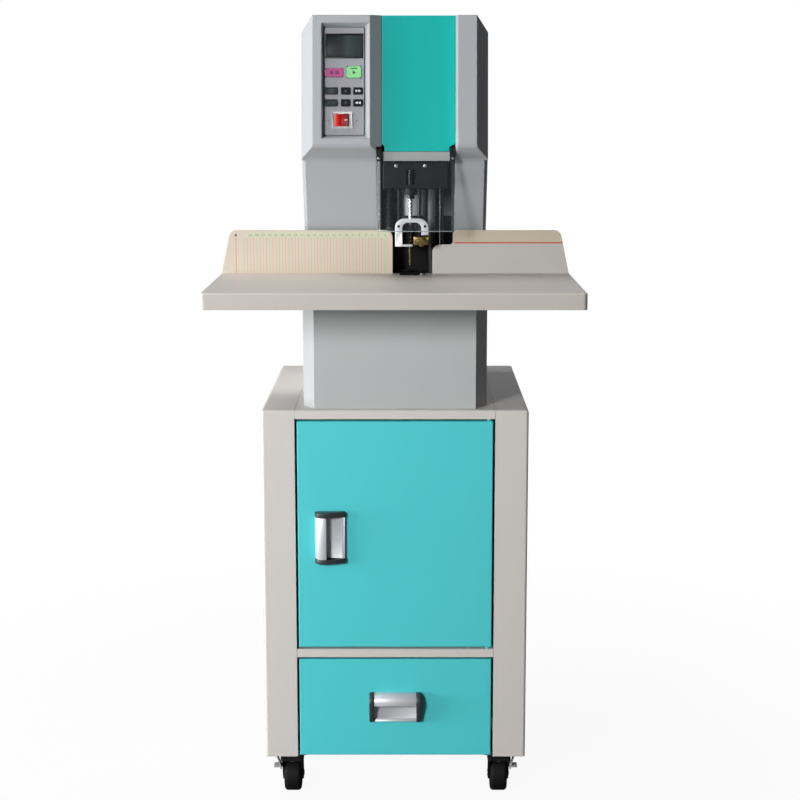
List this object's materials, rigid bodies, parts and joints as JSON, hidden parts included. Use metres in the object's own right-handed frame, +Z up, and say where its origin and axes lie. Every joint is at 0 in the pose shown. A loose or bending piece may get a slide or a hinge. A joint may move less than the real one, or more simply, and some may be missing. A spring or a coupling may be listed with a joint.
{
  "type": "document riveting machine",
  "caption": "Floor-standing drill and riveter for paper: a cabinet on casters with door and drawer, a table with scaled fences and a head with controls and a clear guard.",
  "frame": {"origin": "on the floor in the middle of the machine's overall width and depth", "axes": "+X to the right seen from the user, +Y to the back, +Z up"},
  "size_m": [0.547, 0.581, 1.234],
  "materials": {
    "cabinet_grey": "satin powder coat",
    "door_teal": "satin powder coat",
    "drawer_grey": "satin powder coat",
    "runner_steel": "zinc plated",
    "handle_silver": "satin anodised",
    "caster_black": "moulded",
    "wheel_rubber": "smooth",
    "head_grey": "fine texture",
    "base_grey": "satin powder coat",
    "head_teal": "fine texture",
    "panel_grey": "satin film",
    "display_dark": "gloss window",
    "key_pink": "satin",
    "key_green": "satin",
    "key_navy": "satin",
    "bezel_white": "gloss",
    "rocker_red": "gloss",
    "table_grey": "satin powder coat",
    "fence_cream": "satin powder coat",
    "clear_sheet": "polished",
    "black_plastic": "moulded",
    "frame_grey": "satin",
    "dark_metal": "black finish",
    "bright_steel": "ground",
    "brass": "machined",
    "belt_rubber": "smooth",
    "board_green": "lacquered"
  },
  "bodies": {
    "machine": {"side_panel_left": "cabinet_grey", "side_panel_right": "cabinet_grey", "top_panel": "cabinet_grey", "rear_panel": "cabinet_grey", "floor_panel": "cabinet_grey", "middle_shelf": "cabinet_grey", "drawer_runners": "runner_steel", "caster_mounts": "runner_steel", "base_housing": "base_grey", "head_shell_left": "head_grey", "head_shell_right": "head_grey", "rear_cover": "head_grey", "front_cover": "head_teal", "front_crossbar": "base_grey", "control_panel": "panel_grey", "display": "display_dark", "rocker_bezel": "bezel_white", "work_table": "table_grey", "fence_left": "fence_cream", "fence_right": "fence_cream", "mechanism_frame": "frame_grey", "table_dies": "bright_steel", "feed_motor": "dark_metal", "circuit_board": "board_green", "power_inlet": "black_plastic"},
    "door": {"door_panel": "door_teal", "door_handle": "handle_silver"},
    "drawer": {"drawer_front": "door_teal", "drawer_box": "drawer_grey", "drawer_handle": "handle_silver"},
    "shield": {"clear_shield": "clear_sheet", "shield_hinges": "black_plastic"},
    "rocker": {"power_rocker": "rocker_red"},
    "carriage": {"drill_carriage": "dark_metal", "drill_motor": "dark_metal", "drive_belt": "belt_rubber"},
    "spindle": {"drill_spindle": "bright_steel", "hollow_drill": "bright_steel"},
    "motor_wheel": {"motor_pulley": "bright_steel"},
    "screw": {"feed_screw": "bright_steel"},
    "foot": {"presser_foot": "bright_steel"},
    "riveter": {"rivet_head": "brass"},
    "caster_front_left": {"caster_fork_front_left": "caster_black"},
    "wheel_front_left": {"caster_wheel_front_left": "wheel_rubber"},
    "caster_front_right": {"caster_fork_front_right": "caster_black"},
    "wheel_front_right": {"caster_wheel_front_right": "wheel_rubber"},
    "caster_rear_left": {"caster_fork_rear_left": "caster_black"},
    "wheel_rear_left": {"caster_wheel_rear_left": "wheel_rubber"},
    "caster_rear_right": {"caster_fork_rear_right": "caster_black"},
    "wheel_rear_right": {"caster_wheel_rear_right": "wheel_rubber"},
    "brake_front_left": {"brake_lever_front_left": "runner_steel"},
    "brake_front_right": {"brake_lever_front_right": "runner_steel"},
    "key_red_body": {"key_red": "key_pink"},
    "key_green_body": {"key_green": "key_green"},
    "key_menu_body": {"key_menu": "key_navy"},
    "key_plus_body": {"key_plus": "key_navy"},
    "key_forward_body": {"key_forward": "key_navy"},
    "key_mode_body": {"key_mode": "key_navy"},
    "key_minus_body": {"key_minus": "key_navy"},
    "key_back_body": {"key_back": "key_navy"}
  },
  "joints": [
    {"name": "door_hinge", "type": "hinge", "parent": "machine", "child": "door", "pos_m": [0.1445, -0.1185, 0.4415], "axis": [0, 0, 1], "range_deg": [0, 105]},
    {"name": "drawer_slide", "type": "slide", "parent": "machine", "child": "drawer", "axis": [0, -1, 0], "range_m": [0, 0.3]},
    {"name": "caster_swivel_front_left", "type": "hinge", "parent": "machine", "child": "caster_front_left", "pos_m": [-0.166, -0.0815, 0.06], "axis": [0, 0, 1], "continuous": true},
    {"name": "wheel_roll_front_left", "type": "hinge", "parent": "caster_front_left", "child": "wheel_front_left", "pos_m": [-0.166, -0.0635, 0.028], "axis": [1, 0, 0], "continuous": true},
    {"name": "caster_swivel_front_right", "type": "hinge", "parent": "machine", "child": "caster_front_right", "pos_m": [0.166, -0.0815, 0.06], "axis": [0, 0, 1], "continuous": true},
    {"name": "wheel_roll_front_right", "type": "hinge", "parent": "caster_front_right", "child": "wheel_front_right", "pos_m": [0.166, -0.0635, 0.028], "axis": [1, 0, 0], "continuous": true},
    {"name": "caster_swivel_rear_left", "type": "hinge", "parent": "machine", "child": "caster_rear_left", "pos_m": [-0.166, 0.2305, 0.06], "axis": [0, 0, 1], "continuous": true},
    {"name": "wheel_roll_rear_left", "type": "hinge", "parent": "caster_rear_left", "child": "wheel_rear_left", "pos_m": [-0.166, 0.2485, 0.028], "axis": [1, 0, 0], "continuous": true},
    {"name": "caster_swivel_rear_right", "type": "hinge", "parent": "machine", "child": "caster_rear_right", "pos_m": [0.166, 0.2305, 0.06], "axis": [0, 0, 1], "continuous": true},
    {"name": "wheel_roll_rear_right", "type": "hinge", "parent": "caster_rear_right", "child": "wheel_rear_right", "pos_m": [0.166, 0.2485, 0.028], "axis": [1, 0, 0], "continuous": true},
    {"name": "brake_press_front_left", "type": "hinge", "parent": "caster_front_left", "child": "brake_front_left", "pos_m": [-0.1838, -0.0775, 0.05], "axis": [1, 0, 0], "range_deg": [0, 25]},
    {"name": "brake_press_front_right", "type": "hinge", "parent": "caster_front_right", "child": "brake_front_right", "pos_m": [0.1838, -0.0775, 0.05], "axis": [1, 0, 0], "range_deg": [0, 25]},
    {"name": "shield_hinge", "type": "hinge", "parent": "machine", "child": "shield", "pos_m": [0.032, -0.082, 1.03], "axis": [-1, 0, 0], "range_deg": [0, 80]},
    {"name": "power_rocker_tilt", "type": "hinge", "parent": "machine", "child": "rocker", "pos_m": [-0.0795, -0.08092, 1.07693], "axis": [0, 0.1389, 0.9903], "range_deg": [0, 14]},
    {"name": "key_red_press", "type": "slide", "parent": "machine", "child": "key_red_body", "axis": [0, 0.9903, -0.1389], "range_m": [0, 0.001], "stiffness_N_per_m": 300, "springref_m": -0.0005},
    {"name": "key_green_press", "type": "slide", "parent": "machine", "child": "key_green_body", "axis": [0, 0.9903, -0.1389], "range_m": [0, 0.001], "stiffness_N_per_m": 300, "springref_m": -0.0005},
    {"name": "key_menu_press", "type": "slide", "parent": "machine", "child": "key_menu_body", "axis": [0, 0.9903, -0.1389], "range_m": [0, 0.001], "stiffness_N_per_m": 300, "springref_m": -0.0005},
    {"name": "key_plus_press", "type": "slide", "parent": "machine", "child": "key_plus_body", "axis": [0, 0.9903, -0.1389], "range_m": [0, 0.001], "stiffness_N_per_m": 300, "springref_m": -0.0005},
    {"name": "key_forward_press", "type": "slide", "parent": "machine", "child": "key_forward_body", "axis": [0, 0.9903, -0.1389], "range_m": [0, 0.001], "stiffness_N_per_m": 300, "springref_m": -0.0005},
    {"name": "key_mode_press", "type": "slide", "parent": "machine", "child": "key_mode_body", "axis": [0, 0.9903, -0.1389], "range_m": [0, 0.001], "stiffness_N_per_m": 300, "springref_m": -0.0005},
    {"name": "key_minus_press", "type": "slide", "parent": "machine", "child": "key_minus_body", "axis": [0, 0.9903, -0.1389], "range_m": [0, 0.001], "stiffness_N_per_m": 300, "springref_m": -0.0005},
    {"name": "key_back_press", "type": "slide", "parent": "machine", "child": "key_back_body", "axis": [0, 0.9903, -0.1389], "range_m": [0, 0.001], "stiffness_N_per_m": 300, "springref_m": -0.0005},
    {"name": "drill_feed", "type": "slide", "parent": "machine", "child": "carriage", "axis": [0, 0, -1], "range_m": [-0.025, 0.0145]},
    {"name": "feed_screw_spin", "type": "hinge", "parent": "machine", "child": "screw", "pos_m": [0.072, -0.014, 1.006], "axis": [0, 0, 1], "continuous": true},
    {"name": "drill_spin", "type": "hinge", "parent": "carriage", "child": "spindle", "pos_m": [0.024, -0.0525, 0.996], "axis": [0, 0, 1], "continuous": true},
    {"name": "motor_spin", "type": "hinge", "parent": "carriage", "child": "motor_wheel", "pos_m": [0.024, 0.034, 1.026], "axis": [0, 0, 1], "continuous": true},
    {"name": "foot_spring", "type": "slide", "parent": "carriage", "child": "foot", "axis": [0, 0, 1], "range_m": [0, 0.018], "stiffness_N_per_m": 600, "springref_m": -0.008},
    {"name": "rivet_stroke", "type": "slide", "parent": "carriage", "child": "riveter", "axis": [0, 0, -1], "range_m": [0, 0.024], "stiffness_N_per_m": 600, "springref_m": -0.008}
  ],
  "couplings": [
    {"joint": "feed_screw_spin", "follows": "drill_feed", "rad_per_m": 628.32},
    {"joint": "motor_spin", "follows": "drill_spin", "ratio": 1}
  ]
}
